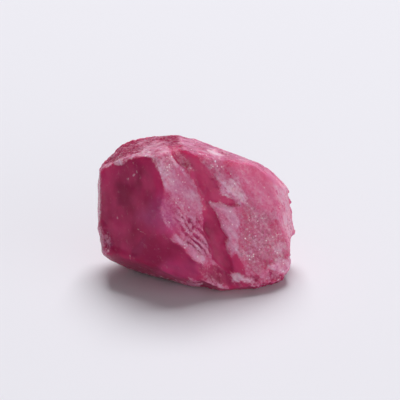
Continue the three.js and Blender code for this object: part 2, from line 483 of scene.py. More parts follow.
SCRATCHES = (
    Scratch(((-5.0, 8.4), (-4.7, 8.1), (-4.7, 7.6), (-5.1, 7.3), (-5.5, 7.1)), width=0.07, pale=0.6),
    Scratch(((-5.3, 1.1), (-5.1, 0.8)), pale=1.0),
    Scratch(((-6.3, 4.3), (-6.3, 4.0))),
    Scratch(((-5.9, 4.4), (-5.9, 4.1)), pale=0.5),
    Scratch(((-4.7, 3.2), (-4.1, 2.8)), pale=0.5),
    Scratch(((-2.3, 3.9), (-2.1, 3.7)), pale=1.0),
    Scratch(((-6.2, 8.7), (-6.0, 8.2)), pale=0.8),
    Scratch(
        ((-5.3, 0.2), (-4.5, 0.0), (-3.6, -0.3), (-2.7, -0.4), (-1.8, -0.7), (-1.1, -0.8)),
        pale=0.7,
        height=0.03,
    ),
    Scratch(((-0.3, 7.8), (0.0, 7.8)), pale=0.5),
    Scratch(((-6.2, 8.5), (-5.6, 8.6), (-4.9, 8.7)), pale=0.5, height=0.02),
)


# ---- the fine skin ----


class Skin:
    """A closed skin of small four-sided cells, laid out on the box round the stone."""

    def __init__(self, size: np.ndarray, cell: float) -> None:
        """Lays out the cells.

        Args:
            size: The box's three sides in mm.
            cell: The width of a cell on the box in mm.
        """
        counts = np.maximum(np.round(size / cell).astype(int), 2)
        corners = [self._side(counts, axis, end) for axis in range(3) for end in (0, 1)]
        lattice = np.concatenate(corners).reshape(-1, 3)
        keys, first = np.unique(lattice, axis=0, return_inverse=True)
        self.points = (keys / counts - 0.5) * size
        self.quads = first.reshape(-1, 4)
        ends = np.stack([self.quads, np.roll(self.quads, -1, axis=1)], axis=-1)
        self.edges = np.unique(np.sort(ends.reshape(-1, 2), axis=1), axis=0)
        self.degree = self._gather(np.ones((len(self.points), 1)))

    @staticmethod
    def _side(counts: np.ndarray, axis: int, end: int) -> np.ndarray:
        """The cells of one side of the box.

        Args:
            counts: The cells along X, Y and Z.
            axis: The axis that the side stands across.
            end: 0 for the low side, 1 for the high one.

        Returns:
            Four whole-number corners for each cell, seen from outside anticlockwise.
        """
        u, v = (axis + 1) % 3, (axis + 2) % 3
        i, j = np.meshgrid(np.arange(counts[u]), np.arange(counts[v]), indexing="ij")
        turn = ((0, 0), (1, 0), (1, 1), (0, 1)) if end else ((0, 0), (0, 1), (1, 1), (1, 0))
        cells = np.zeros((i.size, 4, 3), int)
        cells[:, :, axis] = counts[axis] * end
        for k, (du, dv) in enumerate(turn):
            cells[:, k, u] = i.ravel() + du
            cells[:, k, v] = j.ravel() + dv
        return cells

    def _gather(self, values: np.ndarray) -> np.ndarray:
        """Adds up what lies round each point.

        Args:
            values: One row for each point.

        Returns:
            The sum of each point's neighbours' rows.
        """
        a, b = self.edges.T
        count = len(self.points)
        columns = [
            np.bincount(a, values[b, k], count) + np.bincount(b, values[a, k], count)
            for k in range(values.shape[1])
        ]
        return np.stack(columns, axis=1)

    def relaxed(self, values: np.ndarray, rounds: int) -> np.ndarray:
        """Values evened out along the skin.

        Args:
            values: One number or one row of numbers for each point.
            rounds: How often each value moves halfway to its neighbours' mean.

        Returns:
            The evened values.
        """
        rows = values.reshape(len(values), -1)
        for _ in range(rounds):
            rows = rows + 0.5 * (self._gather(rows) / self.degree - rows)
        return rows.reshape(values.shape)

    def normals(self, points: np.ndarray) -> np.ndarray:
        """The way that the skin faces at each point.

        Args:
            points: The skin's points where they are now.

        Returns:
            One unit direction for each point.
        """
        a, b, c, d = (points[self.quads[:, k]] for k in range(4))
        across = np.cross(c - a, d - b)
        total = np.zeros_like(points)
        for k in range(4):
            for axis in range(3):
                total[:, axis] += np.bincount(self.quads[:, k], across[:, axis], len(points))
        return total / np.linalg.norm(total, axis=1, keepdims=True)

    def bend(self, points: np.ndarray, rounds: int) -> np.ndarray:
        """How far each point stands out of the skin round it.

        Args:
            points: The skin's points where they are now.
            rounds: Rounds of evening: the more there are, the wider the bends that count.

        Returns:
            The height of each point in mm, negative in a hollow.
        """
        return rowwise(points - self.relaxed(points, rounds), self.normals(points))


@dataclass
class Field:
    """Everything that varies over the stone, one number for each point of its skin."""

    frost: np.ndarray
    wine: np.ndarray
    orchid: np.ndarray
    salmon: np.ndarray
    rust: np.ndarray
    pearl: np.ndarray
    wave: np.ndarray
    block: np.ndarray
    grain: np.ndarray
    step: np.ndarray
    shell: np.ndarray
    polish: np.ndarray
    lift: np.ndarray

    def lay(self, mask: np.ndarray, relief: Relief | None, tone: Tone, lift: np.ndarray) -> None:
        """Lays a patch over what is there.

        Args:
            mask: How much of the patch each point takes, from 0 to 1.
            relief: The patch's kind of surface, or None to keep what is there.
            tone: The patch's colouring.
            lift: How far in mm the patch stands out.
        """
        for source in (tone, relief.value) if relief else (tone,):
            for entry in fields(source):
                now = getattr(self, entry.name)
                new = now + mask * (getattr(source, entry.name) - now)
                setattr(self, entry.name, new)
        self.lift = self.lift + mask * lift


@dataclass(frozen=True)
class Borders:
    """How the finishes of the large planes meet."""

    wander: float = 0.04  # how far they stray over the planes' edges, as a share of the distance
    wander_size: float = 0.9  # mm
    votes: int = 10  # rounds that give a narrow strip the finish of what lies round it
    softening: int = 2  # rounds of evening over the border itself
    polish_softening: int = 8  # the same for the polished parts


@dataclass(frozen=True)
class Edging:
    """The edges of the patches and the run of the scratches."""

    evening: int = 24  # rounds that leave only the way that the stone faces on the whole
    square: Ramp = (0.02, 0.2)  # how squarely the skin has to face the board
    flat: Ramp = (0.45, 0.85)  # how level it lies where patches stop standing out
    tongues: Swell = Swell(3, 0.8, 5)  # drawn out along the grain
    bays: Swell = Swell(2, 1.5, 2, 0.5)
    softness: Swell = Swell(1, 1.6, 3, 0.9)
    rim_width: float = 0.13  # mm
    rim_grit: Swell = Swell(0, 0.5, 3)
    rim_ramp: Ramp = (0.0, 0.4)
    scratch_wander: float = 0.05  # mm
    scratch_bend: float = 0.4  # mm, the length of one bend
    scratch_gaps: Swell = Swell(2, 0.35, 2)
    gap_ramp: Ramp = (-0.5, 0.5)


@dataclass(frozen=True)
class Wear:
    """How the standing edges are frosted and chipped."""

    rounds: int = 6  # rounds of evening that an edge has to stand out of
    ramp: Ramp = (0.02, 0.07)  # mm, how far an edge stands out
    ragged: Swell = Swell(4, 0.5, 4, 0.02)
    spared: Swell = Swell(3, 1.6, 3)
    spared_ramp: Ramp = (-0.35, 0.25)
    least: float = 0.5  # what is left of the wear on spared edges
    sharpness: float = 3.4  # how much less an edge is worn for each mm of a shell's depth
    frost: float = 0.75  # what frost comes to on a worn edge
    frosting: float = 0.7  # how much of the way there it goes
    depth: float = 0.05  # mm that a worn edge loses
    nicks: Swell = Swell(5, 0.6, height=0.07)
    calm_rounds: int = 12  # rounds of evening that widen the strip where steps die down
    calm_gain: float = 2.0
    calm: float = 0.8  # the share of the steps' height that is lost there


@dataclass(frozen=True)
class Parting:
    """A set of parting steps: long slopes, each broken off short."""

    way: Way  # the way that the steps follow one another in
    pitch: float  # mm, from one step to the next
    table: int  # the noise that makes them uneven
    weight: float = 1.0  # their height, where the main steps' is 1
    bends: tuple[float, float] = (1.5, 2.6)  # how many steps they bend by, in how many mm
    tongues: tuple[float, float] = (0.3, 0.9)  # the same for the small bends along the grain
    riser: float = 0.16  # the share of a step that climbs
    lowest: float = 0.45  # the height of the lowest step, where the highest is 1
    gap_size: float = 1.9  # mm, the width of a stretch without steps
    gap_ramp: Ramp = (-0.7, 0.3)

    SCATTER = (12.9898, 43758.5453)  # turns a step's number into one that looks random

    def level(self, walk: np.ndarray) -> np.ndarray:
        """The height of the steps along a walk over them.

        Args:
            walk: How many steps each point lies along the way.

        Returns:
            The height, from about -0.5 to 0.5.
        """
        whole = np.floor(walk)
        share = walk - whole
        height = np.where(share < self.riser, share / self.riser, (1.0 - share) / (1.0 - self.riser))
        kind = np.sin(whole * self.SCATTER[0]) * self.SCATTER[1]
        return (height - 0.5) * (self.lowest + (1.0 - self.lowest) * (kind - np.floor(kind)))


MAIN_PITCH = 0.55  # mm
PARTINGS = (
    Parting((133.0, 31.0), MAIN_PITCH, 2),
    Parting((118.0, -48.0), MAIN_PITCH * 1.7, 3, weight=0.3),
)


@dataclass(frozen=True)
class Shells:
    """Shell-shaped scoops with faint ripples."""

    table: int = 5  # the noise that places them
    size: float = 2.4  # mm, from one scoop to the next
    wander: Swell = Swell(1, 1.2, 4, 0.35)
    radius: float = 0.75  # where the scoops' size is 1
    shallowest: float = 0.4  # the depth of the shallowest scoop, where the deepest's is 1
    ripple: float = 0.035  # the same for the ripples
    ripples: float = 30.0  # radians that they turn through over one size
    ripple_shift: float = 6.0  # radians, the most that they are put off by
    rippled: Ramp = (0.5, 0.9)  # which scoops have them

    def depth(self, gap: np.ndarray, mark: np.ndarray) -> np.ndarray:
        """The depth of the scoops, from 0 to about 1.

        Args:
            gap: How far each point is from its scoop's middle.
            mark: The number from 0 to 1 that belongs to its scoop.

        Returns:
            One depth for each point.
        """
        bowl = np.clip(1.0 - (gap / self.radius) ** 2, 0.0, 1.0)
        turn = gap * self.ripples + mark * self.ripple_shift
        ripple = self.ripple * np.sin(turn) * smooth(mark, *self.rippled)
        return bowl * (self.shallowest + (1.0 - self.shallowest) * mark + ripple)


@dataclass(frozen=True)
class Carving:
    """The noises of the relief."""

    facing_rounds: int = 4  # rounds of evening over the way that the relief is pushed
    wander: float = 0.16  # mm, how far the lines of the relief stray
    wander_size: float = 0.8  # mm
    waves: Swell = Swell(4, 2.2, 3)
    blocks: Swell = Swell(1, 0.95)
    small_blocks: Swell = Swell(2, 0.42, height=0.5)
    grains: Swell = Swell(3, 0.34)
    small_grains: Swell = Swell(0, 0.3, 2, 0.8)


@dataclass(frozen=True)
class Bends:
    """How the finish follows the finished relief: it pales what stands out and paints shade into the
    hollows.

    Each scale is its rounds of evening, the mm that a bend is full at, and its weight.
    """

    scales: tuple[tuple[int, float, float], ...] = ((2, 0.03, 0.12), (16, 0.08, 0.7))
    frosty: Ramp = (0.0, 0.3)
    blocky: Ramp = (0.07, 0.14)  # mm of blocks that count as loose stone
    tight: float = 0.3  # how loose the stone is without such blocks
    tight_frost: float = 0.05
    loose_frost: float = 0.35  # what loose stone adds to it
    # painted shade: how much darker crimson goes into the hollows
    wine: float = 0.3
    pearl: float = 0.5
    pearl_start: float = 0.3  # the bend that pearl starts at


@dataclass
class Ruby:
    """The stone itself."""

    cell: float = 0.1035  # mm, a cell of the skin on the stone's box
    rounding: int = 3  # rounds of evening that soften the large planes' edges
    polish_rounds: int = 90  # rounds of evening where the planes run together
    lean: float = 25.0  # degrees, how far the board of the patches leans back
    board_middle: float = 0.1  # mm, where along X the board's own zero is
    fibre_stretch: float = 2.6  # how much longer than wide its blocks and splinters are
    seed: int = 41
    tables: int = 6  # how many noises it has
    borders: Borders = Borders()
    edging: Edging = Edging()
    wear: Wear = Wear()
    shells: Shells = Shells()
    carving: Carving = Carving()
    bends: Bends = Bends()

    def __post_init__(self) -> None:
        """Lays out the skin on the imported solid's box, and draws the noises."""
        self.low, self.high = (np.array(corner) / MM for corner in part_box(NODE))
        self.skin = Skin(self.high - self.low, self.cell)
        self.noise = [Grain(self.seed + k) for k in range(self.tables)]

    def build(self) -> bpy.types.Object:
        """Makes the stone's mesh, with its relief and its finish masks.

        Returns:
            The stone, at rest in the frame.
        """
        rays = self.skin.points / np.linalg.norm(self.skin.points, axis=1, keepdims=True)
        tree = self._solid_tree()
        points, _ = self._cast(tree, rays)
        points = self.skin.relaxed(points, self.rounding)
        self.field = self._plane_field(tree, rays, points)
        self._lay_patches(points)
        polish = self.skin.relaxed(self.field.polish, self.borders.polish_softening)
        even = self.skin.relaxed(points, self.polish_rounds)
        points = points + polish[:, None] * (even - points)
        edge = self._worn(points)
        self._scratch(points)
        points = self._carved(points, edge)
        points[:, 2] = np.clip(points[:, 2], self.low[2], self.high[2])
        self._mark_bends(points)
        return self._mesh(points)

    def _swell(self, swell: Swell, points: np.ndarray) -> np.ndarray:
        """Waves of one of the stone's noises."""
        return swell.height * self.noise[swell.table].rough(points, swell.size, swell.octaves)

    def _chips(self, swell: Swell, points: np.ndarray) -> np.ndarray:
        """Flat facets of one of the stone's noises."""
        return swell.height * self.noise[swell.table].chips(points, swell.size)

    def _drift(self, points: np.ndarray, size: float, octaves: int, count: int) -> np.ndarray:
        """Two or three noises side by side, which bend lines as one.

        Args:
            points: Places in mm.
            size: The length in mm of the largest swell.
            octaves: How many sizes are added up.
            count: How many noises there are.

        Returns:
            One row for each point.
        """
        drifts = [noise.rough(points, size, octaves) for noise in self.noise[:count]]
        return np.stack(drifts, axis=1)

    def _fibrous(self, points: np.ndarray) -> np.ndarray:
        """Points drawn together along the grain, so that noise on them comes out long."""
        way = facing(*FIBRE)
        return points - (1.0 - 1.0 / self.fibre_stretch) * (points @ way)[:, None] * way

    def _solid_tree(self) -> BVHTree:
        """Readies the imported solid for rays.

        Returns:
            Its faces, in mm.
        """
        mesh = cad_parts[NODE].data
        corners = [vertex.co / MM for vertex in mesh.vertices]
        return BVHTree.FromPolygons(corners, [tuple(p.vertices) for p in mesh.polygons])

    def _cast(self, tree: BVHTree, rays: np.ndarray) -> tuple[np.ndarray, np.ndarray]:
        """Finds the solid's outside in many directions from its heart.

        Args:
            tree: The solid.
            rays: The directions.

        Returns:
            The places that the rays reach, and the way that the solid faces there.
        """
        heart = Vector((self.low + self.high) / 2)
        reached = [tree.ray_cast(heart, Vector(ray))[:2] for ray in rays]
        places = np.array([place for place, _ in reached])
        return places, np.array([normal for _, normal in reached])

    def _plane_field(self, tree: BVHTree, rays: np.ndarray, points: np.ndarray) -> Field:
        """Gives every point the finish of the plane that it is on.

        Args:
            tree: The solid.
            rays: The directions of the points from the heart.
            points: The softened large shape.

        Returns:
            The field, with ragged borders between the planes.
        """
        borders = self.borders
        warped = rays + borders.wander * self._drift(points, borders.wander_size, 4, 3)
        _, outward = self._cast(tree, warped / np.linalg.norm(warped, axis=1, keepdims=True))
        ways = np.array([facing(plane.azimuth, plane.elevation) for plane in PLANES])
        nearest = np.argmax(outward @ ways.T, axis=1)
        votes = self.skin.relaxed(np.eye(len(PLANES))[nearest], borders.votes)
        nearest = np.argmax(votes, axis=1)
        made = {}
        for entry in fields(Field):
            values = [
                getattr(plane.tone, entry.name, getattr(plane.relief.value, entry.name, 0.0))
                for plane in PLANES
            ]
            made[entry.name] = self.skin.relaxed(np.array(values)[nearest], borders.softening)
        return Field(**made)

    def _board(self, points: np.ndarray) -> np.ndarray:
        """Where points are on the patches' board: along X, and up the board."""
        up = points @ facing(180, 90.0 - self.lean)
        return np.stack([points[:, 0] - self.board_middle, up], axis=1)

    def _ways(self, points: np.ndarray) -> np.ndarray:
        """The way that the skin faces on the whole round each point."""
        return self.skin.relaxed(self.skin.normals(points), self.edging.evening)

    def _towards(self, ways: np.ndarray) -> np.ndarray:
        """How squarely each point faces the board, from 0 to 1."""
        return smooth(ways @ facing(0, self.lean), *self.edging.square)

    @staticmethod
    def _away(spots: np.ndarray, path: Outline) -> np.ndarray:
        """How far each spot is from a path.

        Args:
            spots: Places on the board.
            path: The path's corners.

        Returns:
            The distance in mm.
        """
        corners = np.array(path)
        nearest = np.full(len(spots), np.inf)
        for a, b in zip(corners[:-1], corners[1:]):
            along = b - a
            share = np.clip((spots - a) @ along / (along @ along), 0.0, 1.0)
            nearest = np.minimum(nearest, np.linalg.norm(spots - a - share[:, None] * along, axis=1))
        return nearest

    def _inset(self, spots: np.ndarray, outline: Outline) -> np.ndarray:
        """How far inside an outline each spot is.

        Args:
            spots: Places on the board.
            outline: The outline's corners.

        Returns:
            The distance to the outline in mm, negative outside it.
        """
        corners = np.array(outline)
        inside = np.zeros(len(spots), bool)
        for a, b in zip(corners, np.roll(corners, -1, axis=0)):
            along = b - a
            spans = (a[1] > spots[:, 1]) != (b[1] > spots[:, 1])
            rise = along[1] if along[1] else 1.0
            crossing = a[0] + (spots[:, 1] - a[1]) / rise * along[0]
            inside ^= spans & (spots[:, 0] < crossing)
        return self._away(spots, outline + outline[:1]) * np.where(inside, 1.0, -1.0)

    def _lay_patches(self, points: np.ndarray) -> None:
        """Lays every patch on the front of the stone.

        Args:
            points: The softened large shape.
        """
        edging, made = self.edging, self.field
        spots = self._board(points)
        ways = self._ways(points)
        towards = self._towards(ways)
        standing = 1.0 - smooth(ways[:, 2], *edging.flat)
        ragged = self._swell(edging.tongues, self._fibrous(points)) + self._swell(edging.bays, points)
        softness = np.exp(self._swell(edging.softness, points))
        grit = smooth(self._swell(edging.rim_grit, points), *edging.rim_ramp)
        for patch in PATCHES:
            inset = self._inset(spots, patch.outline) + patch.wander * ragged
            mask = smooth(inset / softness, -patch.feather, patch.feather) * towards
            made.lay(mask, patch.relief, patch.tone, patch.lift * standing)
            near = np.exp(-((inset / edging.rim_width) ** 2))
            made.pearl = made.pearl + patch.rim * near * grit * towards

    def _scratch(self, points: np.ndarray) -> None:
        """Draws every scratch.

        Args:
            points: The smoothed large shape.
        """
        edging, made = self.edging, self.field
        wander = edging.scratch_wander * self._drift(points, edging.scratch_bend, 2, 2)
        spots = self._board(points) + wander
        faint = smooth(self._swell(edging.scratch_gaps, points), *edging.gap_ramp)
        shown = self._towards(self._ways(points)) * faint
        for scratch in SCRATCHES:
            mask = np.exp(-((self._away(spots, scratch.path) / scratch.width) ** 2)) * shown
            made.pearl = made.pearl + scratch.pale * mask
            made.lift = made.lift + scratch.height * mask

    def _worn(self, points: np.ndarray) -> np.ndarray:
        """Frosts the standing edges.

        Args:
            points: The smoothed large shape.

        Returns:
            How worn each point is, from 0 to 1, and less where a deep shell is sharp-edged.
        """
        wear, made = self.wear, self.field
        bend = self.skin.bend(points, wear.rounds) + self._swell(wear.ragged, points)
        spared = smooth(self._swell(wear.spared, points), *wear.spared_ramp)
        kept = wear.least + (1.0 - wear.least) * spared
        edge = smooth(bend, *wear.ramp) * kept * (1.0 - wear.sharpness * made.shell)
        made.frost = made.frost + edge * (wear.frost - made.frost) * wear.frosting
        return edge

    def _steps(self, points: np.ndarray, parting: Parting) -> np.ndarray:
        """Breaks one set of parting steps.

        Args:
            points: The smoothed large shape.
            parting: The steps.

        Returns:
            Their height, from about -0.5 to 0.5.
        """
        noise = self.noise[parting.table]
        (bends, bend_size), (tongues, tongue_size) = parting.bends, parting.tongues
        walk = points @ facing(*parting.way) / parting.pitch
        walk = walk + bends * noise.rough(points, bend_size, 2)
        walk = walk + tongues * noise.rough(self._fibrous(points), tongue_size, 3)
        kept = smooth(noise.rough(points, parting.gap_size, 2), *parting.gap_ramp)
        return parting.level(walk) * kept * parting.weight

    def _scoops(self, points: np.ndarray) -> np.ndarray:
        """The depth of the shell-shaped scoops, from 0 to about 1."""
        bent = points + self._swell(self.shells.wander, points)[:, None]
        return self.shells.depth(*self.noise[self.shells.table].crumbs(bent, self.shells.size))

    def _carved(self, points: np.ndarray, edge: np.ndarray) -> np.ndarray:
        """Works the relief into the skin.

        Args:
            points: The smoothed large shape.
            edge: How worn each point is.

        Returns:
            The points of the finished stone.
        """
        made, carving, wear = self.field, self.carving, self.wear
        normals = self.skin.relaxed(self.skin.normals(points), carving.facing_rounds)
        normals /= np.linalg.norm(normals, axis=1, keepdims=True)
        bent = points + carving.wander * self._drift(points, carving.wander_size, 3, 3)
        fibrous = self._fibrous(bent)
        blocks = self._chips(carving.blocks, fibrous) + self._chips(carving.small_blocks, fibrous)
        grains = self._chips(carving.grains, bent) + self._swell(carving.small_grains, points)
        steps = sum(self._steps(points, parting) for parting in PARTINGS)
        near_edge = np.clip(wear.calm_gain * self.skin.relaxed(edge, wear.calm_rounds), 0.0, 1.0)
        height = self.skin.relaxed(made.lift, 1)
        height += made.wave * self._swell(carving.waves, points)
        height += made.block * blocks
        height += made.grain * grains
        height += made.step * steps * (1.0 - wear.calm * near_edge)
        height -= made.shell * self._scoops(points)
        height -= edge * (wear.depth + self._chips(wear.nicks, bent))
        return points + normals * height[:, None]

    def _mark_bends(self, points: np.ndarray) -> None:
        """Pales what stands out of the finished relief, and darkens what lies in it with painted shade.

        Args:
            points: The finished stone's points.
        """
        bends, made = self.bends, self.field
        bend = sum(
            weight * np.clip(self.skin.bend(points, rounds) / height, -1.0, 1.0)
            for rounds, height, weight in bends.scales
        )
        blocky = bends.tight + (1.0 - bends.tight) * smooth(made.block, *bends.blocky)
        loose = smooth(made.frost, *bends.frosty) * blocky
        made.frost = made.frost + bend * (bends.tight_frost + bends.loose_frost * loose)
        # Painted shade: wine darkens the hollows of the relief.
        made.wine = made.wine + bends.wine * np.clip(-bend, 0.0, 1.0)
        made.pearl = made.pearl + bends.pearl * np.clip(bend - bends.pearl_start, 0.0, 1.0) * loose

    def _mesh(self, points: np.ndarray) -> bpy.types.Object:
        """Turns the finished skin into a Blender object.

        Args:
            points: The skin's points in mm.

        Returns:
            The object, with a mask for each part of its tone.
        """
        mesh = bpy.data.meshes.new("rough_ruby")
        mesh.from_pydata((points * MM).tolist(), [], self.skin.quads.tolist())
        for entry in fields(Tone):
            values = np.clip(getattr(self.field, entry.name), 0.0, 1.0).astype(np.float32)
            mesh.attributes.new(entry.name, "FLOAT", "POINT").data.foreach_set("value", values)
        mesh.shade_smooth()
        mesh.update()
        return placed("rough_ruby", mesh)


# ---- shader building ----


@dataclass(frozen=True)
class Cloud:
    """One noise of a finish."""

    size: float  # mm, the width of its swells
    detail: float = 4.0  # how many finer sizes are added
    roughness: float = 0.55  # how strong the finer sizes are


class Signal:
    """One value of a shader, which Python's own operators work on."""

    def __init__(self, bench: "Bench", socket: bpy.types.NodeSocket) -> None:
        """Wraps an output socket of a material's nodes."""
        self.bench = bench
        self.socket = socket

    def _with(self, operation: str, first: Any, second: Any) -> "Signal":
        """Adds one Math node."""
        node = self.bench.node("ShaderNodeMath", {"operation": operation}, {0: first, 1: second})
        return Signal(self.bench, node.outputs[0])

    def __add__(self, other: Any) -> "Signal":
        """This plus other."""
        return self._with("ADD", self, other)

    __radd__ = __add__

    def __sub__(self, other: Any) -> "Signal":
        """This less other."""
        return self._with("SUBTRACT", self, other)

    def __rsub__(self, other: Any) -> "Signal":
        """Other less this."""
        return self._with("SUBTRACT", other, self)

    def __mul__(self, other: Any) -> "Signal":
        """This times other."""
        return self._with("MULTIPLY", self, other)

    __rmul__ = __mul__

    def swing(self, amount: float) -> "Signal":
        """How far this noise is from its middle, times an amount."""
        return (self - 0.5) * amount

    def ramp(self, low: float, high: float) -> "Signal":
        """0 below low, 1 above high, and smooth between them.

        Args:
            low: Where the ramp starts.
            high: Where the ramp ends.

        Returns:
            The ramp's value.
        """
        settings = {"interpolation_type": "SMOOTHSTEP"}
        values = {"Value": self, "From Min": low, "From Max": high}
        node = self.bench.node("ShaderNodeMapRange", settings, values)
        return Signal(self.bench, node.outputs["Result"])


class Bench:
    """A material and the nodes that are added to it."""

    def __init__(self, name: str) -> None:
        """Starts an empty material.

        Args:
            name: The material's name.
        """
        self.material = bpy.data.materials.new(name)
        self.material.use_nodes = True
        self.tree = self.material.node_tree
        self.tree.nodes.clear()

    def node(self, kind: str, settings: dict[str, Any], values: dict[Any, Any]) -> bpy.types.Node:
        """Adds any node.

        Args:
            kind: The node's type.
            settings: Its own properties, which are set first.
            values: Its sockets' numbers, colours or links, by name or place.

        Returns:
            The node.
        """
        made = self.tree.nodes.new(kind)
        for name, value in settings.items():
            setattr(made, name, value)
        for key, value in values.items():
            socket = made.inputs[key]
            if isinstance(value, Signal):
                self.tree.links.new(value.socket, socket)
            elif isinstance(value, bpy.types.NodeSocket):
                self.tree.links.new(value, socket)
            elif isinstance(value, tuple) and len(value) == 3 and socket.type == "RGBA":
                socket.default_value = (*value, 1.0)
            else:
                socket.default_value = value
        return made

    def mask(self, name: str) -> Signal:
        """A mask that the mesh carries."""
        node = self.node("ShaderNodeAttribute", {"attribute_name": name}, {})
        return Signal(self, node.outputs["Fac"])

    def place(self) -> bpy.types.NodeSocket:
        """Where on the object a point is, in metres."""
        return self.node("ShaderNodeTexCoord", {}, {}).outputs["Object"]

    def vector(self, operation: str, values: dict[Any, Any]) -> bpy.types.Node:
        """Adds one Vector Math node."""
        return self.node("ShaderNodeVectorMath", {"operation": operation}, values)

    def along(self, way: np.ndarray, stretch: float) -> bpy.types.NodeSocket:
        """Places drawn together in one direction, so that noise comes out long that way.

        Args:
            way: The direction.
            stretch: How many times longer the noise is.

        Returns:
            The changed place.
        """
        share = self.vector("DOT_PRODUCT", {0: self.place(), 1: tuple(way)}).outputs["Value"]
        squeeze = Signal(self, share) * (1.0 / stretch - 1.0)
        shift = self.vector("SCALE", {0: tuple(way), "Scale": squeeze}).outputs[0]
        return self.vector("ADD", {0: self.place(), 1: shift}).outputs[0]

    def noise(self, cloud: Cloud, place: bpy.types.NodeSocket | None = None) -> Signal:
        """Solid noise.

        Args:
            cloud: How it looks.
            place: Where it is read, if not at the point itself.

        Returns:
            A value round 0.5.
        """
        values = {
            "Vector": place or self.place(),
            "Scale": 1.0 / (cloud.size * MM),
            "Detail": cloud.detail,
            "Roughness": cloud.roughness,
        }
        return Signal(self, self.node("ShaderNodeTexNoise", {}, values).outputs["Fac"])

    def crumbs(self, size: float) -> tuple[Signal, Signal]:
        """Packed grains.

        Args:
            size: The width of a grain in mm.

        Returns:
            The distance from the nearest grain's middle, and that grain's own value.
        """
        values = {"Vector": self.place(), "Scale": 1.0 / (size * MM)}
        node = self.node("ShaderNodeTexVoronoi", {}, values)
        own = self.node("ShaderNodeSeparateColor", {}, {"Color": node.outputs["Color"]})
        return Signal(self, node.outputs["Distance"]), Signal(self, own.outputs["Red"])

    def mixed(self, share: Any, base: Any, over: Any) -> bpy.types.NodeSocket:
        """One colour over another.

        Args:
            share: How much of the second shows, from 0 to 1.
            base: The first colour.
            over: The second colour.

        Returns:
            The mixed colour's socket.
        """
        settings = {"data_type": "RGBA", "clamp_factor": True}
        node = self.node("ShaderNodeMix", settings, {0: share, 6: base, 7: over})
        return node.outputs[2]

    def finish(self, shader: bpy.types.Node) -> bpy.types.Material:
        """Joins the shader to the material's output and returns the material."""
        self.node("ShaderNodeOutputMaterial", {}, {"Surface": shader.outputs[0]})
        return self.material


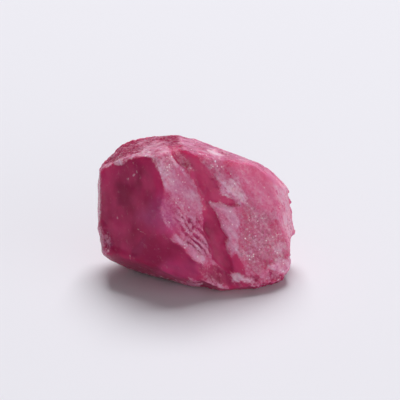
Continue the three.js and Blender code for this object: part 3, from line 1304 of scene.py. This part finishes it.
@dataclass(frozen=True)
class RubyFinish:
    """The stone's finish: a glassy red body under a skin that is frosted in places."""

    crimson: Colour = (0.61, 0.042, 0.166)
    wine: Colour = (0.32, 0.011, 0.074)
    frosted: Colour = (0.68, 0.265, 0.43)
    orchid: Colour = (0.48, 0.08, 0.25)
    salmon: Colour = (0.86, 0.23, 0.41)
    rust: Colour = (0.52, 0.17, 0.20)
    pearl: Colour = (0.86, 0.62, 0.73)
    # near-white painted highlights on the glittering grains
    glitter_highlight: Colour = (0.97, 0.84, 0.89)
    clouds: Cloud = Cloud(1.4, 5.0)
    depths: Cloud = Cloud(2.6, 3.0)
    specks: Cloud = Cloud(0.2, 4.0, 0.65)
    grits: Cloud = Cloud(0.24, 3.0, 0.7)
    streaks: Cloud = Cloud(0.34, 5.0, 0.6)
    swirls: Cloud = Cloud(1.1, 3.0, 0.5)
    veils: Cloud = Cloud(0.9, 4.0, 0.6)
    crumb: float = 0.17  # mm, the grains of the frosted skin
    fibre_stretch: float = 3.2  # how much longer than wide its streaks, swirls and veils are
    veil_ramp: Ramp = (0.48, 0.7)
    pale_grit: Ramp = (0.52, 0.68)
    dark_grit: Ramp = (0.5, 0.68)
    rusty_specks: Ramp = (0.35, 0.65)
    # the grains below carry the painted glitter highlights
    glittering_grains: Ramp = (0.91, 0.96)  # which of the grains glitter
    glitter_reach: Ramp = (0.22, 0.48)  # how far from a grain's middle they do
    glitter_frost: Ramp = (0.1, 0.5)  # how frosted the skin is where they do
    glassy_roughness: float = 0.18
    frosted_roughness: float = 0.6
    speck_roughness: float = 0.12
    relief_strength: float = 0.5
    relief_depth: float = 0.03  # mm
    ior: float = 1.77
    mirror: float = 0.09  # how strongly the skin mirrors, where 0.5 is the full strength of its IOR
    subsurface: float = 0.7
    subsurface_depth: float = 1.3  # mm
    subsurface_radius: Colour = (1.0, 0.22, 0.34)

    def material(self) -> bpy.types.Material:
        """Makes the material.

        Returns:
            The material, driven by the masks that the stone's mesh carries.
        """
        bench = Bench("ruby")
        streaky = bench.along(facing(*FIBRE), self.fibre_stretch)
        cloud, depth, speck, grit = (
            bench.noise(kind) for kind in (self.clouds, self.depths, self.specks, self.grits)
        )
        streak, swirl, veil = (
            bench.noise(kind, streaky) for kind in (self.streaks, self.swirls, self.veils)
        )
        gap, own = bench.crumbs(self.crumb)
        masks = {entry.name: bench.mask(entry.name) for entry in fields(Tone)}

        # Frost breaks up more where there is some than where there is none.
        broken = cloud.swing(1.0) + streak.swing(0.8) + speck.swing(1.1)
        loose = masks["frost"].ramp(0.0, 0.35) * 0.8 + 0.2
        frost = (masks["frost"] + broken * loose).ramp(0.1, 0.9)
        dark = (masks["wine"] + depth.swing(1.3) + cloud.swing(0.7)).ramp(0.0, 1.0)
        pale = (masks["pearl"] + streak.swing(1.2) + speck.swing(0.8)).ramp(0.1, 1.0)
        coarse = (masks["rust"] + masks["pearl"]).ramp(0.0, 0.5) * 0.7 + 0.3
        coarse = coarse * (1.0 - masks["salmon"] * 0.8)
        # Painted glitter: near-white specks on a few frosted grains, which stand for highlights off their
        # facets.
        painted_glitter = own.ramp(*self.glittering_grains) * (1.0 - gap.ramp(*self.glitter_reach))
        painted_glitter = painted_glitter * frost.ramp(*self.glitter_frost)

        # Each coat is how much of it shows, then its colour, from the body outwards.
        coats = (
            (masks["orchid"] * (cloud * 0.8 + 0.6), self.orchid),
            (frost * (cloud * 0.4 + 0.75), self.frosted),
            (masks["salmon"] * (depth * 0.6 + swirl * 0.8 + 0.1), self.salmon),
            (masks["rust"] * speck.ramp(*self.rusty_specks), self.rust),
            (veil.ramp(*self.veil_ramp) * frost * 0.45, self.pearl),
            ((1.0 - veil).ramp(*self.veil_ramp) * frost * 0.6, self.crimson),
            ((1.0 - grit).ramp(*self.dark_grit) * frost * coarse * 0.6, self.wine),
            (grit.ramp(*self.pale_grit) * frost * coarse * 0.55, self.pearl),
            (pale, self.pearl),
            # painted highlight: the glitter specks
            (painted_glitter * (coarse * 0.6 + 0.4), self.glitter_highlight),
        )
        colour = bench.mixed(dark, self.crimson, self.wine)
        for share, over in coats:
            colour = bench.mixed(share, colour, over)

        span = self.frosted_roughness - self.glassy_roughness
        rough = self.glassy_roughness + frost * span + speck.swing(self.speck_roughness)
        height = speck * (0.12 + frost) + (own * 0.5 + streak) * frost
        relief = {
            "Strength": self.relief_strength,
            "Distance": self.relief_depth * MM,
            "Height": height,
        }
        bump = bench.node("ShaderNodeBump", {}, relief)
        shader = bench.node(
            "ShaderNodeBsdfPrincipled",
            {"subsurface_method": "RANDOM_WALK"},
            {
                "Base Color": colour,
                "Roughness": rough,
                "IOR": self.ior,
                "Specular IOR Level": self.mirror,
                "Normal": bump.outputs["Normal"],
                "Subsurface Weight": self.subsurface,
                "Subsurface Radius": self.subsurface_radius,
                "Subsurface Scale": self.subsurface_depth * MM,
            },
        )
        return bench.finish(shader)


@dataclass(frozen=True)
class PaperFinish:
    """The pale matt ground."""

    colour: Colour = (0.80, 0.79, 0.85)
    roughness: float = 0.7

    def material(self) -> bpy.types.Material:
        """Makes the material.

        Returns:
            The ground's material.
        """
        bench = Bench("paper")
        values = {"Base Color": self.colour, "Roughness": self.roughness}
        return bench.finish(bench.node("ShaderNodeBsdfPrincipled", {}, values))


# ---- studio ----


@dataclass(frozen=True)
class Lamp:
    """A soft lamp that looks at the stone.  Lengths are in mm."""

    name: str
    way: Way  # the way that it hangs in
    distance: float
    width: float
    height: float
    power: float  # watts

    def hang(self) -> None:
        """Hangs the lamp."""
        data = bpy.data.lights.new(self.name, "AREA")
        data.energy = self.power
        data.shape = "RECTANGLE"
        data.size, data.size_y = self.width * MM, self.height * MM
        lamp = placed(self.name, data)
        lamp.location = Vector(facing(*self.way)) * self.distance * MM
        lamp.rotation_euler = (-lamp.location).to_track_quat("-Z", "Y").to_euler()


@dataclass
class Studio:
    """The floor, the lights and the camera.  Lengths are in mm."""

    floor_side: float = 3000.0
    key: Lamp = Lamp("key", (178.0, 60.0), 900.0, 520.0, 520.0, 7.9)
    fill: Lamp = Lamp("fill", (42.0, 8.0), 300.0, 600.0, 220.0, 0.69)
    sky: Colour = (1.0, 1.0, 1.0)
    sky_strength: float = 0.155
    aim: tuple[float, float, float] = (0.337, -0.34, 6.2)
    camera_elevation: float = 25.0
    camera_distance: float = 180.0
    camera_near: float = 10.0  # what is nearer than this isn't shown
    view_width: float = 32.0
    sensor: float = 36.0

    def build(self) -> None:
        """Sets up the whole studio."""
        self._floor()
        self.key.hang()
        self.fill.hang()
        self._sky()
        self._camera()
        bpy.context.scene.view_settings.view_transform = "Standard"

    def _floor(self) -> None:
        """Lays the floor that the stone stands on."""
        half = self.floor_side * MM / 2
        corners = [(-half, -half, 0), (half, -half, 0), (half, half, 0), (-half, half, 0)]
        mesh = bpy.data.meshes.new("floor")
        mesh.from_pydata(corners, [], [(0, 1, 2, 3)])
        mesh.materials.append(PaperFinish().material())
        placed("floor", mesh)

    def _sky(self) -> None:
        """Gives the studio its even white surround."""
        world = bpy.data.worlds.new("studio")
        world.use_nodes = True
        back = world.node_tree.nodes["Background"]
        back.inputs["Color"].default_value = (*self.sky, 1.0)
        back.inputs["Strength"].default_value = self.sky_strength
        bpy.context.scene.world = world

    def _camera(self) -> None:
        """Sets the camera in front of the stone, looking down on it."""
        data = bpy.data.cameras.new("camera")
        data.sensor_width = self.sensor
        data.lens = self.sensor * self.camera_distance / self.view_width
        data.clip_start = self.camera_near * MM
        camera = placed("camera", data)
        back = Vector(facing(0, self.camera_elevation))
        camera.location = Vector(self.aim) * MM + back * self.camera_distance * MM
        camera.rotation_euler = (-back).to_track_quat("-Z", "Y").to_euler()
        bpy.context.scene.camera = camera


# ---- the part ----


def main() -> None:
    """Builds the studio and the stone, and dresses the stone."""
    logging.basicConfig(level=logging.INFO)
    Studio().build()
    stone = Ruby().build()
    stone.data.materials.append(RubyFinish().material())
    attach(stone, "root")
    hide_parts(NODE)
    LOG.info("%s: %d cells", stone.name, len(stone.data.polygons))


if __name__ == "__main__":
    main()
